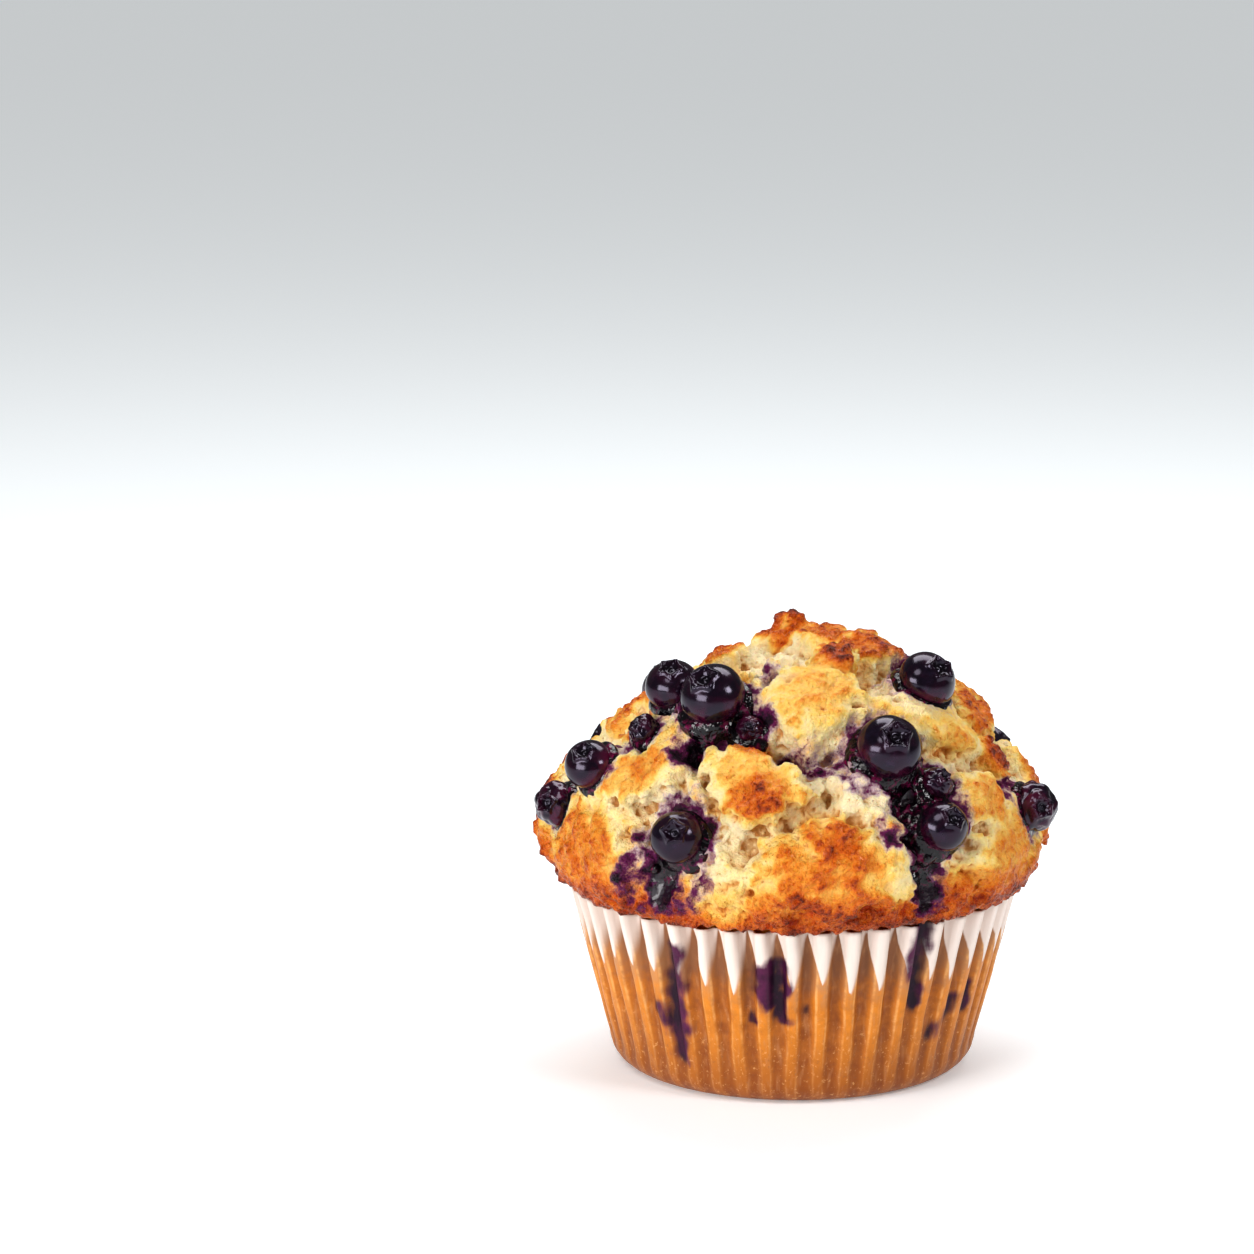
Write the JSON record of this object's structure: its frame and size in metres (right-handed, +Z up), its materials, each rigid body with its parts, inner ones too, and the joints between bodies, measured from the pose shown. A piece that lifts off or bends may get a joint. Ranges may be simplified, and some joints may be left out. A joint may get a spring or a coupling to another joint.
{
  "type": "muffin",
  "caption": "Large baked muffin with a craggy domed crown, whole berries baked into it, and a fluted paper case round its lower half.",
  "frame": {"origin": "centre of the flat underside of the paper case, on the surface that the muffin stands on", "axes": "+Z up through the crown, -Y towards the side that the picture shows"},
  "size_m": [0.1012, 0.1019, 0.0876],
  "materials": {
    "crust": "satin",
    "paper": "matte",
    "berry": "gloss"
  },
  "bodies": {
    "root": {"muffin": "crust", "paper_case": "paper", "berry_01": "berry", "berry_02": "berry", "berry_03": "berry", "berry_04": "berry", "berry_05": "berry", "berry_06": "berry", "berry_07": "berry", "berry_08": "berry", "berry_09": "berry", "berry_10": "berry", "berry_11": "berry", "berry_12": "berry", "berry_13": "berry", "berry_14": "berry", "berry_15": "berry", "burst_berry_01": "berry", "burst_berry_02": "berry", "burst_berry_03": "berry", "burst_berry_04": "berry", "burst_berry_05": "berry"}
  },
  "joints": []
}
